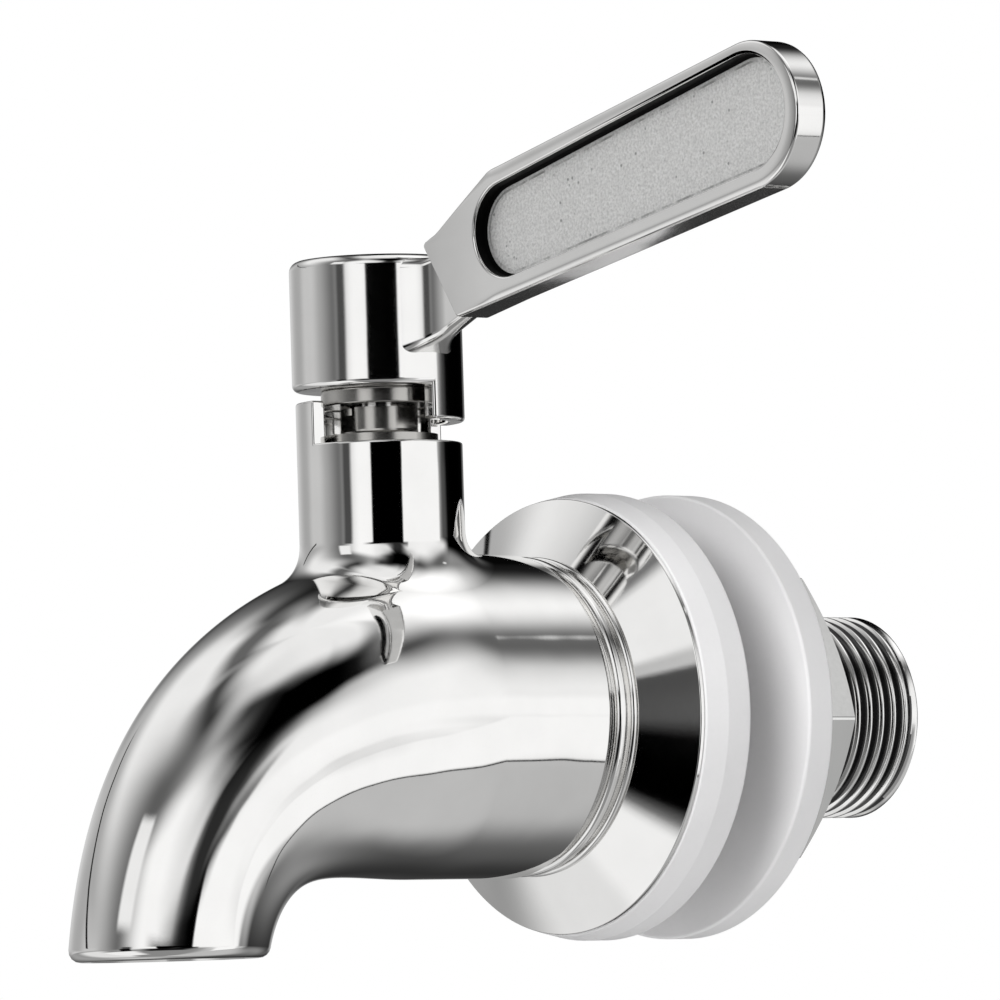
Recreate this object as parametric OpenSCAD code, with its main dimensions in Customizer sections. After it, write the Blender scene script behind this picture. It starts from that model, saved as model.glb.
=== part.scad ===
// Quarter-turn ball spigot for a wax melting pot.
// Origin: where the shank axis crosses the mounting face, the rear of the front washer.
// +Y runs back along the shank, -Y towards the spout, +Z up. Lengths are in millimetres.

/* [Shank and wall fixing] */
// Outside diameter of the threaded shank
thread_d = 16; // [13:0.5:20]
// Length of the shank behind the mounting face
shank_l = 26.2; // [23:0.1:50]
// Bore through the shank
shank_bore_d = 9; // [5:0.5:9.5]
// Bevel at the free end of the thread
thread_lead = 0.5; // [0.4:0.1:1.4]
// Pitch of the thread
thread_pitch = 1.25; // [0.8:0.05:2]
// Depth of the thread
thread_depth = 0.75; // [0.4:0.05:1]
// How much narrower the lock nut is across its flats than the barrel
nut_under = 3; // [1:0.5:4]
// Thickness of the lock nut
nut_t = 7.3; // [3:0.1:8]
// How far the lock nut is turned, in degrees
nut_turn = 3.3; // [0:0.1:60]
// Outside diameter of the two soft washers
washer_d = 34.8; // [30:0.2:44]
// Thickness of the front washer
front_washer_t = 4.3; // [3.4:0.1:8]
// Plain rim of the front washer behind its bevel
front_washer_rim = 2.35; // [1:0.05:3]
// Thickness of the rear washer
rear_washer_t = 2.5; // [1.5:0.1:5]
// Space left between the washers for the pot's wall
wall_gap = 5.9; // [4.5:0.1:8]

/* [Escutcheon] */
// Outside diameter of the polished disc
disc_d = 33.8; // [29:0.2:40]
// Thickness of the disc at its edge
disc_edge = 0.4; // [0.3:0.1:1.2]
// Height of the disc's cone
disc_cone = 2.4; // [1.5:0.1:5]

/* [Barrel and shank head] */
// Outside diameter of the barrel
barrel_d = 25; // [24:0.2:27]
// Wall of the barrel round the shank's spigot
barrel_wall = 3.5; // [3.2:0.1:3.8]
// Length of the shank's beaded head between the barrel and the disc
head_l = 2.6; // [2.2:0.1:4]
// Width of the bead next to the barrel
front_bead_w = 1; // [0.8:0.05:1.2]
// Width of the bead next to the disc
rear_bead_w = 0.6; // [0.4:0.05:0.8]
// Depth of the grooves between the beads
bead_groove = 0.8; // [0.7:0.1:1.4]
// Distance from the barrel's rear end to the valve axis
valve_back = 12.1; // [11.8:0.1:16]

/* [Spout] */
// Distance from the valve axis to the middle of the outlet
spout_reach = 21.8; // [21.4:0.1:26]
// Drop from the shank axis to the outlet
spout_drop = 18.3; // [17.4:0.1:24]
// Outside diameter at the outlet
outlet_d = 15; // [14:0.2:18]
// Bore of the outlet
outlet_bore_d = 11.2; // [9:0.1:12]
// Depth of the outlet bore
outlet_depth = 5; // [4.2:0.1:6]
// Bore of the waterway
waterway_d = 8; // [5:0.2:8.4]
// Radius of the bend of the waterway
bend_r = 14.5; // [13:0.1:15]

/* [Tower] */
// Outside diameter of the tower
tower_d = 12.7; // [12.2:0.1:15]
// Height of the tower's low rim above the shank axis
rim_z = 20.8; // [20:0.1:26]
// Height of the stop wall above the low rim
stop_h = 3.3; // [2.2:0.1:3.8]
// Thickness of the stop wall
stop_t = 1.2; // [0.8:0.1:1.4]
// Radius of the blend between the tower and the barrel
blend_r = 2.2; // [1:0.1:3]

/* [Valve] */
// Diameter of the ball
ball_d = 13; // [12.4:0.1:13.4]
// Width of the seats along the barrel
seat_t = 3.6; // [3:0.1:3.8]
// Diameter of the stem
stem_d = 4.4; // [4:0.1:4.6]
// Diameter of the stem's foot below its collar
foot_d = 5.2; // [4.6:0.1:5.4]
// Width of the stem's tongue
tongue_w = 2.6; // [1.8:0.1:3]
// Thickness of each packing ring
packing_t = 1.5; // [1:0.1:1.8]
// Diameter of the gland nut's flange
flange_d = 9; // [9:0.1:10]
// Thickness of the gland nut's flange
flange_t = 0.7; // [0.5:0.1:1]
// Diameter of the gland nut's neck
neck_d = 5.9; // [5.6:0.1:7]
// Height of the gland nut's neck above its flange
neck_h = 2.1; // [1.6:0.1:2.4]
// Diameter of the spacer under the lever
spacer_d = 8.8; // [7:0.1:9.4]
// Thickness of the spacer under the lever
spacer_t = 1.2; // [0.8:0.1:1.6]

/* [Lever] */
// Diameter of the lever's hub
hub_d = 13.15; // [12.6:0.05:15]
// Height of the lever's hub
hub_h = 10; // [9.5:0.1:14]
// Drop of the stop lug below the hub
lug_h = 2.6; // [2:0.1:3]
// Wall of the stop lug
lug_t = 1.35; // [0.8:0.05:1.45]
// Distance from the stem axis to the middle of the paddle's tip
tip_x = 45.3; // [40:0.1:70]
// Radius of the paddle's tip
tip_r = 5.5; // [4.5:0.1:8]
// Half width of the paddle at its root
root_r = 5; // [4:0.1:6]
// Rise of the paddle's centre line in degrees
paddle_rise = 11.75; // [6:0.25:20]
// Thickness of the paddle
paddle_t = 3.2; // [2.4:0.1:5]
// Thickness of the web between the hub and the paddle
web_t = 2.2; // [1.6:0.1:2.4]
// Depth of the sunk panel
panel_depth = 1.2; // [0.4:0.1:1.6]
// Width of the frame round the sunk panel
panel_frame = 1.1; // [0.8:0.1:2]

/* [Hidden] */
$fn = 96;
eps = 0.02;
fit = 0.05;
loose = 0.1;
seal_gap = 0.02;

barrel_r = barrel_d/2;
nut_af = barrel_d - nut_under;
thread_r = thread_d/2;
tower_r = tower_d/2;
hub_r = hub_d/2;
stem_r = stem_d/2;
foot_r = foot_d/2;
tongue_deep = 1.7;
neck_r = neck_d/2;
ball_r = ball_d/2;
ball_bore_r = waterway_d/2;
waterway_r = waterway_d/2;
shank_bore_r = shank_bore_d/2;

// Places along the shank axis, front to back
disc_back_y = -front_washer_t;
disc_hub_y = disc_back_y - disc_edge - disc_cone;
barrel_end_y = disc_hub_y - head_l;
valve_at = barrel_end_y - valve_back;
outlet_y = valve_at - spout_reach;
seat_start = 2.8;
front_seat_y = valve_at - seat_start - seat_t;
rear_seat_y = valve_at + seat_start;
rear_seat_end_y = rear_seat_y + seat_t;
rear_washer_y = wall_gap;
nut_y = rear_washer_y + rear_washer_t;

// Cavities of the barrel
spigot_r = barrel_r - barrel_wall;
seat_step = 1;
seat_r = spigot_r - seat_step;
spigot_shoulder_y = rear_seat_end_y + 0.6;
o_ring_y = (spigot_shoulder_y + barrel_end_y)/2;
o_ring_groove_depth = 1.5;
edge_round = 0.5;

// Spout centre line and radius, both cubic curves in the plane x = 0.
// The skin is the envelope of balls that run along the line.
spout_start_y = valve_at + 1.8;
spout_pts = [
    [spout_start_y, 0],
    [valve_at - 4.4, 0],
    [outlet_y + 2.1, -2],
    [outlet_y, -spout_drop]];
outlet_r = outlet_d/2;
spout_radii = [barrel_r, barrel_r, outlet_r, outlet_r];
outlet_bore_r = outlet_bore_d/2;
skin_sides = 48;
skin_rings = 26;
skin_end_t = 1.06;
skin_start_t = 0.02;
barrel_run_on = 0.8;

// Places up the stem axis
cavity_roof_z = seat_r;
slot_z = ball_r - tongue_deep;
tongue_top_z = ball_r + 0.2;
step_z = 11;
stem_ring_z = (cavity_roof_z + step_z)/2;
stem_ring_depth = 0.9;
thrust_t = 0.5;
collar_t = 1;
collar_z = step_z + thrust_t;
packing_z = collar_z + collar_t;
gland_z = packing_z + 2*packing_t;
packing_r = 3.9;
collar_r = 3.6;
gland_r = 4.1;
flange_z = rim_z + flange_t;
neck_top_z = flange_z + neck_h;
spacer_gap = 0.2;
spacer_z = neck_top_z + spacer_gap;
hub_z = spacer_z + spacer_t;
hub_top_z = hub_z + hub_h;
square_w = 0.96*stem_d/sqrt(2);
square_top_z = hub_z + 5.7;
socket_top_z = square_top_z + 0.3;
seat_washer_z = socket_top_z + 1;
spring_washer_t = 0.5;
screw_r = 1;
screw_head_r = 1.9;
screw_head_h = 1.6;
screw_l = 7;
screw_head_z = seat_washer_z + spring_washer_t;
screw_foot_z = screw_head_z - screw_l;
pocket_r = 2.4;

// Stops: the lug sweeps a quarter turn between the two ends of the stop wall
stop_gap_deg = 1.5;
lug_from = stop_gap_deg;
lug_to = 90 - stop_gap_deg;
wall_from = 90 + stop_gap_deg;
wall_to = 270 - stop_gap_deg;

// Lever outline, in the plane of x and z
tip_z = hub_top_z + 6.55;
root_x = hub_r + 7.725;
root_back = (tip_x - root_x)/cos(paddle_rise);
panel_tip_r = tip_r - panel_frame;
panel_root_r = root_r - panel_frame - 0.3;
panel_share = 0.916;
panel_l = panel_share*(tip_x - root_x);
hub_top_round = 0.8;
hub_foot_round = 0.5;
web_h = 5.7;
web_drop = 0.3;

function cubic(t, p) =
    pow(1-t, 3)*p[0] + 3*t*pow(1-t, 2)*p[1] + 3*t*t*(1-t)*p[2] + pow(t, 3)*p[3];
function cubic_slope(t, p) =
    3*(pow(1-t, 2)*(p[1]-p[0]) + 2*t*(1-t)*(p[2]-p[1]) + t*t*(p[3]-p[2]));

// Radius of the ball at t, and how fast it changes along the line
function skin_r(t) = cubic(t, spout_radii);
function skin_k(t) = cubic_slope(t, spout_radii)/norm(cubic_slope(t, spout_pts));

// One ring of the spout's skin: where the ball at t touches its envelope
function skin_ring(t, inset) =
    let (c = cubic(t, spout_pts), d = cubic_slope(t, spout_pts)/norm(cubic_slope(t, spout_pts)),
        k = skin_k(t), r = skin_r(t) - inset, m = c - r*k*d, w = r*sqrt(1 - k*k),
        up = [d[1], -d[0]])
    [for (i = [0:skin_sides-1]) let (a = 360*i/skin_sides)
        [w*cos(a), m[0] + w*sin(a)*up[0], m[1] + w*sin(a)*up[1]]];

// Height of the casting's upper skin over a point, without the tower
function skin_top(x, y) = max(concat(
    [y >= spout_start_y ? sqrt(max(0, barrel_r*barrel_r - x*x)) : 0],
    [for (t = [0:0.02:0.8]) let (c = cubic(t, spout_pts), r = skin_r(t),
        q = r*r - x*x - pow(y - c[0], 2)) q > 0 ? c[1] + sqrt(q) : 0]));

// Points of an arc about c, from angle a to angle b
function arc(c, r, a, b, n = 8) =
    [for (i = [0:n]) let (q = a + (b - a)*i/n) [c[0] + r*cos(q), c[1] + r*sin(q)]];

// Joins equal rings of points into a closed solid with flat ends
module lofted(rings) {
    n = len(rings[0]);
    m = len(rings);
    pts = [for (ring = rings) for (p = ring) p];
    sides = [for (j = [0:m-2]) for (i = [0:n-1]) let (k = (i+1)%n)
        each [[j*n+i, (j+1)*n+i, (j+1)*n+k], [j*n+i, (j+1)*n+k, j*n+k]]];
    first = [for (i = [0:n-1]) i];
    last = [for (i = [n-1:-1:0]) (m-1)*n + i];
    polyhedron(points = pts, faces = concat([first], sides, [last]), convexity = 6);
}

// Turns a profile of [radius, y] points about the shank axis
module turned_y(profile) {
    rotate([-90, 0, 0]) rotate_extrude() polygon(profile);
}

// Turns a profile of [radius, z] points about the stem axis
module turned_z(profile, angle = 360, from = 0) {
    translate([0, valve_at, 0]) rotate([0, 0, from]) rotate_extrude(angle = angle) polygon(profile);
}

module rod_y(r, y0, y1) {
    translate([0, y0, 0]) rotate([-90, 0, 0]) cylinder(r = r, h = y1 - y0);
}

module rod_z(r, z0, z1) {
    translate([0, valve_at, z0]) cylinder(r = r, h = z1 - z0);
}

// A ring of round section about the shank axis or the stem axis
module ring_y(r, section_r, y) {
    translate([0, y, 0]) rotate([-90, 0, 0]) rotate_extrude() translate([r, 0])
        circle(r = section_r, $fn = 32);
}

module ring_z(r, section_r, z) {
    translate([0, valve_at, z]) rotate_extrude() translate([r, 0]) circle(r = section_r, $fn = 32);
}

// Curved foot that blends the tower into the barrel and the root of the spout.
// Each section is a quadratic curve that leaves the tower's wall and runs out on the skin,
// cut short and run on straight at both ends so that it enters them at an angle.
module tower_blend() {
    steps = 5;
    sides = 48;
    cut_t = 0.2;
    run_on = 0.5;
    floor_z = 5;
    function at(i) = 360*(i + 0.4)/sides;
    function height(r, a) = skin_top(r*cos(a), valve_at + r*sin(a));
    function curve(t, foot, bend) =
        [tower_r + t*t*blend_r, pow(1-t, 2)*(bend + blend_r) + 2*t*(1-t)*bend + t*t*foot];
    function slope(t, foot, bend) =
        let (d = [2*t*blend_r, -2*(1-t)*blend_r + 2*t*(foot - bend)]) d/norm(d);
    function place(p, a) = [p[0]*cos(a), valve_at + p[0]*sin(a), p[1]];
    rings = [for (j = [steps+1:-1:-1]) [for (i = [0:sides-1])
        let (a = at(i), foot = height(tower_r + blend_r, a), bend = height(tower_r, a),
            t = cut_t + (1 - 2*cut_t)*min(max(j, 0), steps)/steps,
            past = j < 0 ? -4*run_on : j > steps ? run_on : 0)
        place(curve(t, foot, bend) + past*slope(t, foot, bend), a)]];
    floor_ring = [for (i = [0:sides-1]) place([tower_r + 0.6*blend_r, floor_z], at(i))];
    top_ring = [for (i = [0:sides-1]) place([tower_r - 1, barrel_r + 2*blend_r], at(i))];
    lofted(concat([floor_ring], rings, [top_ring]));
}

module spout_skin() {
    inset = 0.04;
    rings = [for (j = [0:skin_rings])
        skin_ring(skin_start_t + (skin_end_t - skin_start_t)*j/skin_rings, inset)];
    lofted(rings);
}

// Waterway from the front seat, round the bend and down to the middle of the outlet
module waterway() {
    bend_deg = 81;
    end_z = -bend_r*(1 - cos(bend_deg));
    end_y = outlet_y + (spout_drop + end_z)*tan(90 - bend_deg);
    bend_y = end_y + bend_r*sin(bend_deg);
    rod_y(waterway_r + loose, bend_y - eps, front_seat_y + 1);
    translate([0, bend_y, -bend_r]) rotate([0, 90, 0]) rotate([0, 0, 180 - 0.5])
        rotate_extrude(angle = bend_deg + 1) translate([bend_r, 0]) circle(r = waterway_r);
    translate([0, end_y, end_z]) rotate([bend_deg - 90, 0, 0])
        translate([0, 0, -spout_drop]) cylinder(r = waterway_r + loose, h = spout_drop + loose);
}

module body() {
    front_y = spout_start_y - barrel_run_on;
    low_rim_r = (tower_r - stop_t + gland_r)/2;
    barrel_profile = concat([[0, front_y], [0, barrel_end_y]],
        [[barrel_r - edge_round, barrel_end_y]],
        [for (p = arc([barrel_r - edge_round, barrel_end_y - edge_round], edge_round, 90, 0, 4)) p],
        [[barrel_r, front_y]]);
    color("silver") difference() {
        union() {
            turned_y(barrel_profile);
            spout_skin();
            tower_blend();
            rod_z(tower_r, barrel_r - 4, rim_z + stop_h);
        }
        // Leaves only the stop wall standing above the low rim
        rod_z(tower_r - stop_t, rim_z, rim_z + stop_h + 1);
        turned_z([[low_rim_r, rim_z], [tower_r + 1, rim_z],
            [tower_r + 1, rim_z + stop_h + 1], [low_rim_r, rim_z + stop_h + 1]],
            360 - (wall_to - wall_from), wall_to);
        // Flat cut of the outlet
        translate([-barrel_d, outlet_y - barrel_d, -spout_drop - 2*barrel_d])
            cube([2*barrel_d, 3*barrel_d, 2*barrel_d]);
        // Cavity for the shank's spigot, the seats and the ball
        rod_y(spigot_r + fit, spigot_shoulder_y - eps, barrel_end_y + 1);
        rod_y(seat_r + fit, front_seat_y, spigot_shoulder_y);
        waterway();
        translate([0, outlet_y, -spout_drop - 1])
            cylinder(r = outlet_bore_r, h = outlet_depth + 1);
        // Stem hole, packing chamber and gland thread
        rod_z(foot_r + fit, cavity_roof_z - 2, step_z + eps);
        rod_z(packing_r + fit, step_z, gland_z + eps);
        rod_z(gland_r + fit, gland_z, rim_z + 1);
    }
}

module shank() {
    bead_r = barrel_r - 0.1;
    groove_r = barrel_r - bead_groove;
    first_y = barrel_end_y + head_l*0.23;
    second_y = disc_hub_y - rear_bead_w;
    function bead(y, w) = arc([bead_r - w/2, y + w/2], w/2, -90, 90);
    o_ring_w = 1.8;
    // A row of ring grooves stands for the thread's helix
    groove_half = 0.42*thread_pitch;
    first_groove_y = thread_pitch/2;
    grooves = floor((shank_l - thread_lead - first_groove_y)/thread_pitch);
    thread = [for (i = [0:grooves-1]) let (y = first_groove_y + i*thread_pitch)
        each [[thread_r, y - groove_half], [thread_r - thread_depth, y], [thread_r, y + groove_half]]];
    color("silver") difference() {
        turned_y(concat(
            [[0, rear_seat_end_y], [seat_r - loose, rear_seat_end_y],
            [seat_r - loose, spigot_shoulder_y], [spigot_r, spigot_shoulder_y],
            [spigot_r, barrel_end_y], [groove_r, barrel_end_y], [groove_r, first_y]],
            bead(first_y, front_bead_w), [[groove_r, first_y + front_bead_w], [groove_r, second_y]],
            bead(second_y, rear_bead_w), [[thread_r, disc_hub_y]], thread,
            [[thread_r, shank_l - thread_lead], [thread_r - thread_lead, shank_l], [0, shank_l]]));
        rod_y(shank_bore_r, rear_seat_end_y - 1, shank_l + 1);
        // Groove of the shank's O-ring
        translate([0, o_ring_y - o_ring_w/2, 0]) rotate([-90, 0, 0]) difference() {
            cylinder(r = spigot_r + 1, h = o_ring_w);
            translate([0, 0, -1]) cylinder(r = spigot_r - o_ring_groove_depth, h = o_ring_w + 2);
        }
    }
}

module shank_o_ring() {
    section_r = (o_ring_groove_depth + fit)/2 - seal_gap;
    color("dimgray") ring_y(spigot_r + fit - seal_gap - section_r, section_r, o_ring_y);
}

// A soft ring cupped to the ball
module seat(y) {
    color("whitesmoke") difference() {
        rod_y(seat_r, y, y + seat_t);
        rod_y(waterway_r + loose, y - 1, y + seat_t + 1);
        translate([0, valve_at, 0]) sphere(r = ball_r + fit);
    }
}

module rear_seat() seat(rear_seat_y);

module front_seat() seat(front_seat_y);

// Closed at rest, so its bore lies across the waterway
module ball() {
    slot_w = tongue_w + 2*loose;
    color("lightgray") difference() {
        translate([0, valve_at, 0]) sphere(r = ball_r);
        translate([-ball_d, valve_at, 0]) rotate([0, 90, 0]) cylinder(r = ball_bore_r, h = 2*ball_d);
        translate([-slot_w/2, valve_at - ball_r, slot_z]) cube([slot_w, ball_d, ball_r]);
    }
}

module stem() {
    groove_h = 1.2;
    screw_clear = 0.4;
    color("silver") difference() {
        union() {
            intersection() {
                rod_z(foot_r, slot_z + loose, tongue_top_z + eps);
                translate([-tongue_w/2, valve_at - foot_r, 0]) cube([tongue_w, foot_d, ball_d]);
            }
            rod_z(foot_r, tongue_top_z, collar_z + eps);
            rod_z(collar_r, collar_z, packing_z);
            rod_z(stem_r, packing_z - eps, hub_z);
            translate([-square_w/2, valve_at - square_w/2, hub_z - eps])
                cube([square_w, square_w, square_top_z - hub_z + eps]);
        }
        // Groove of the stem's O-ring
        translate([0, valve_at, stem_ring_z - groove_h/2]) difference() {
            cylinder(r = foot_r + 1, h = groove_h);
            translate([0, 0, -1]) cylinder(r = foot_r - stem_ring_depth, h = groove_h + 2);
        }
        // Hole for the lever screw
        rod_z(screw_r + seal_gap, screw_foot_z - screw_clear, square_top_z + 1);
    }
}

module stem_o_ring() {
    section_r = (stem_ring_depth + fit)/2 - seal_gap;
    color("dimgray") ring_z(foot_r + fit - seal_gap - section_r, section_r, stem_ring_z);
}

module thrust_washer() {
    color("whitesmoke") difference() {
        rod_z(packing_r, step_z, step_z + thrust_t);
        rod_z(foot_r + fit, step_z - 1, step_z + thrust_t + 1);
    }
}

module packing(z) {
    color("whitesmoke") difference() {
        rod_z(packing_r, z, z + packing_t);
        rod_z(stem_r + fit, z - 1, z + packing_t + 1);
    }
}

module lower_packing() packing(packing_z);

module upper_packing() packing(packing_z + packing_t);

module gland_nut() {
    slot_w = 1.2;
    slot_depth = 0.6;
    neck_fillet = 0.4;
    color("silver") difference() {
        turned_z(concat([[0, gland_z], [gland_r, gland_z], [gland_r, rim_z], [flange_d/2, rim_z],
            [flange_d/2, flange_z]],
            arc([neck_r + neck_fillet, flange_z + neck_fillet], neck_fillet, 270, 180, 4),
            [[neck_r, neck_top_z], [0, neck_top_z]]));
        rod_z(stem_r + fit, gland_z - 1, neck_top_z + 1);
        // Slot for a pin spanner, across the neck and in line with the barrel
        translate([-slot_w/2, valve_at - neck_d, neck_top_z - slot_depth])
            cube([slot_w, 2*neck_d, slot_depth + 1]);
    }
}

module lever_spacer() {
    color("gray") difference() {
        rod_z(spacer_d/2, spacer_z, hub_z);
        rod_z(stem_r + fit, spacer_z - 1, hub_z + 1);
    }
}

// Strip between two circles on the paddle's centre line, each rounded to its own radius
module tapered_strip(back_l, back_r, front_r) {
    lean = asin((front_r - back_r)/back_l);
    circle(r = front_r);
    translate([-back_l, 0]) circle(r = back_r);
    polygon([
        front_r*[-sin(lean), cos(lean)], [-back_l, 0] + back_r*[-sin(lean), cos(lean)],
        [-back_l, 0] - back_r*[sin(lean), cos(lean)], -front_r*[sin(lean), cos(lean)]]);
}

// Paddle outline, with its slanted root beside the hub
module paddle_outline() {
    // Corners of the slanted root, from the hub's side and its top
    top_root = [hub_r + 1.05, hub_top_z + 0.2];
    low_root = [hub_r + 5, hub_top_z - web_h];
    shoulder = [root_x + 1.4, hub_top_z + 5.2];
    // Far enough out to cover the whole paddle
    beyond = 3*tip_r;
    dir = [cos(paddle_rise), sin(paddle_rise)];
    side = [-sin(paddle_rise), cos(paddle_rise)];
    mid = [tip_x, tip_z] - root_back*dir;
    intersection() {
        union() {
            translate([tip_x, tip_z]) rotate(paddle_rise) tapered_strip(root_back, root_r, tip_r);
            polygon([mid + root_r*side, top_root, low_root, mid - root_r*side, mid + 4*dir]);
        }
        // Keeps the strip's round root behind the slanted edge
        polygon([top_root, low_root, low_root - [0, beyond], [tip_x + beyond, low_root[1] - beyond],
            [tip_x + beyond, tip_z + beyond], shoulder + [0, beyond], shoulder]);
    }
}

// Sets a drawing of x and z upright in the lever's plane, with its front face at -y
module upright(t, front) {
    translate([0, valve_at + front + t, 0]) rotate([90, 0, 0]) linear_extrude(height = t) children();
}

module lever() {
    panel_lift = 0.15;
    color("silver") difference() {
        union() {
            turned_z(concat([[0, hub_z]],
                arc([hub_r - hub_foot_round, hub_z + hub_foot_round], hub_foot_round, 270, 360, 4),
                arc([hub_r - hub_top_round, hub_top_z - hub_top_round], hub_top_round, 0, 90, 6),
                [[0, hub_top_z]]));
            turned_z([[hub_r - lug_t, hub_z - lug_h], [hub_r, hub_z - lug_h],
                [hub_r, hub_z + 2], [hub_r - lug_t, hub_z + 2]], lug_to - lug_from, lug_from);
            upright(paddle_t, -paddle_t/2) paddle_outline();
            // Web from the hub to the paddle's root
            upright(web_t, -web_t/2) polygon([
                [0, hub_top_z - web_drop], [hub_r + 1.5, hub_top_z - web_drop/2],
                [root_x, hub_top_z + 3], [root_x, hub_top_z - web_h + 1.3],
                [hub_r + 4.2, hub_top_z - web_h], [0, hub_top_z - web_h - 1.1]]);
        }
        // Sunk panel in the front face
        upright(panel_depth + 1, -paddle_t/2 - 1)
            translate([tip_x - 0.2, tip_z + panel_lift]) rotate(paddle_rise + 0.6)
                tapered_strip(panel_l, panel_root_r, panel_tip_r);
        // Square socket, screw hole and the screw's pocket
        translate([-square_w/2 - fit, valve_at - square_w/2 - fit, hub_z - 1])
            cube([square_w + 2*fit, square_w + 2*fit, socket_top_z - hub_z + 1]);
        rod_z(screw_r + loose, socket_top_z - 1, seat_washer_z + 1);
        rod_z(pocket_r, seat_washer_z, hub_top_z + 1);
    }
}

module spring_washer() {
    split_w = 0.5;
    color("silver") difference() {
        rod_z(screw_head_r, seat_washer_z, seat_washer_z + spring_washer_t);
        rod_z(screw_r + loose, seat_washer_z - 1, seat_washer_z + 2);
        translate([0, valve_at - split_w/2, seat_washer_z - 1]) cube([ball_d, split_w, 3]);
    }
}

module lever_screw() {
    head_top_z = screw_head_z + screw_head_h;
    head_bevel = 0.2;
    hex_r = 0.87;
    hex_depth = 0.9;
    color("silver") difference() {
        turned_z([[0, screw_foot_z], [screw_r, screw_foot_z], [screw_r, screw_head_z],
            [screw_head_r, screw_head_z], [screw_head_r, head_top_z - head_bevel],
            [screw_head_r - head_bevel, head_top_z], [0, head_top_z]]);
        translate([0, valve_at, head_top_z - hex_depth])
            cylinder(r = hex_r, h = hex_depth + 1, $fn = 6);
    }
}

module escutcheon() {
    hub_face_r = barrel_r - 0.15;
    color("lightsteelblue") turned_y([
        [thread_r + loose, disc_hub_y], [hub_face_r, disc_hub_y],
        [disc_d/2, disc_back_y - disc_edge], [disc_d/2, disc_back_y], [thread_r + loose, disc_back_y]]);
}

module front_washer() {
    color("gainsboro") turned_y([
        [thread_r + loose, disc_back_y], [disc_d/2 + 0.1, disc_back_y],
        [washer_d/2, -front_washer_rim], [washer_d/2, 0], [thread_r + loose, 0]]);
}

module rear_washer() {
    color("gainsboro") turned_y([
        [thread_r + loose, rear_washer_y], [washer_d/2, rear_washer_y],
        [washer_d/2, rear_washer_y + rear_washer_t], [thread_r + loose, rear_washer_y + rear_washer_t]]);
}

module lock_nut() {
    corner_r = nut_af/2/cos(30);
    bevel = corner_r - nut_af/2;
    color("lightgray") rotate([0, nut_turn, 0]) difference() {
        intersection() {
            translate([0, nut_y, 0]) rotate([-90, 0, 0]) cylinder(r = corner_r, h = nut_t, $fn = 6);
            turned_y([[0, nut_y], [corner_r + eps, nut_y], [corner_r + eps, nut_y + nut_t - bevel/2],
                [nut_af/2, nut_y + nut_t + eps], [0, nut_y + nut_t + eps]]);
        }
        rod_y(thread_r + fit, nut_y - 1, nut_y + nut_t + 1);
    }
}

body();
shank();
shank_o_ring();
rear_seat();
front_seat();
ball();
stem();
stem_o_ring();
thrust_washer();
lower_packing();
upper_packing();
gland_nut();
lever_spacer();
lever();
spring_washer();
lever_screw();
escutcheon();
front_washer();
rear_washer();
lock_nut();
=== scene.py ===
import math

import bpy
import numpy as np
from mathutils import Matrix, Vector


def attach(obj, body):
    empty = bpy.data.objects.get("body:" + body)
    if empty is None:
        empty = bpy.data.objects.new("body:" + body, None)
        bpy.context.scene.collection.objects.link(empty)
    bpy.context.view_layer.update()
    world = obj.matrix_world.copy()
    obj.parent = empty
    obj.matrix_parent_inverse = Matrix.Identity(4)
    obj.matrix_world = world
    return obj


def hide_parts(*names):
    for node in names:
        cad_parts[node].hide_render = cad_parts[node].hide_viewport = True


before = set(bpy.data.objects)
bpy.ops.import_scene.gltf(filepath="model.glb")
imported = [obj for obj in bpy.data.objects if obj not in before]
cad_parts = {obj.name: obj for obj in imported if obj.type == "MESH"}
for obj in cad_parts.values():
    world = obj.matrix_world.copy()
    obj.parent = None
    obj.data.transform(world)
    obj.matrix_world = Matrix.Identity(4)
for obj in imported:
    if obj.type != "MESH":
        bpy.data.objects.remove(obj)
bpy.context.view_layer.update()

bl_info = {
    "name": "Wax pot spigot",
    "version": (1, 0, 0),
    "blender": (4, 5, 0),
    "location": "3D View > Sidebar > Spigot",
    "description": "Dresses the packed wax pot spigot with turned, cast and polished surfaces",
    "category": "Add Mesh",
}

# Shapes are worked out in millimetres and put into the meshes in metres
MM = 0.001
VALVE_Y = -21.8
BARREL_R = 12.5
BARREL_END = -9.7
BARREL_ROUND = 0.5
SPOUT_START = -20.0
SPOUT_LINE = np.array([[-20.0, 0.0], [-26.2, 0.0], [-41.5, -2.0], [-43.6, -18.3]])
SPOUT_RADII = np.array([[12.5], [12.5], [7.5], [7.5]])
OUTLET_Y, OUTLET_Z = -43.6, -18.3
OUTLET_BORE, OUTLET_DEPTH = 5.6, 5.0
WATERWAY_R, BEND_R, BEND_DEG = 4.0, 14.5, 81.0
SEAT_Y, SEAT_R = -28.2, 8.05
SPIGOT_Y, SPIGOT_R = -14.8, 9.05
TOWER_R, RIM_Z, FOOT_BLEND = 6.35, 20.8, 2.2
GLAND_R, GLAND_FLOOR = 4.15, 12.0
WALL_LOW, WALL_TOP, WALL_IN, WALL_FROM, WALL_TO = RIM_Z - 1.5, 24.1, 5.15, 91.5, 268.5
HUB_R, HUB_Z, HUB_TOP, POCKET_R, POCKET_Z = 6.575, 25.0, 35.0, 2.4, 32.0
LUG_IN, LUG_FROM, LUG_TO, LUG_LOW, LUG_HIGH = 5.225, 1.5, 88.5, 22.4, 26.5
PADDLE_HALF, PANEL_DEPTH = 1.6, 1.2
THREAD_R, THREAD_START, THREAD_END, SHANK_END = 8.0, -1.0, 25.7, 26.2
WASHER_BORE, WASHER_R, DISC_R = 8.1, 17.4, 16.9
DISC_FRONT, DISC_BACK, REAR_WASHER, NUT_FRONT, NUT_BACK = -7.1, -4.3, 5.9, 8.4, 15.7
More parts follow.
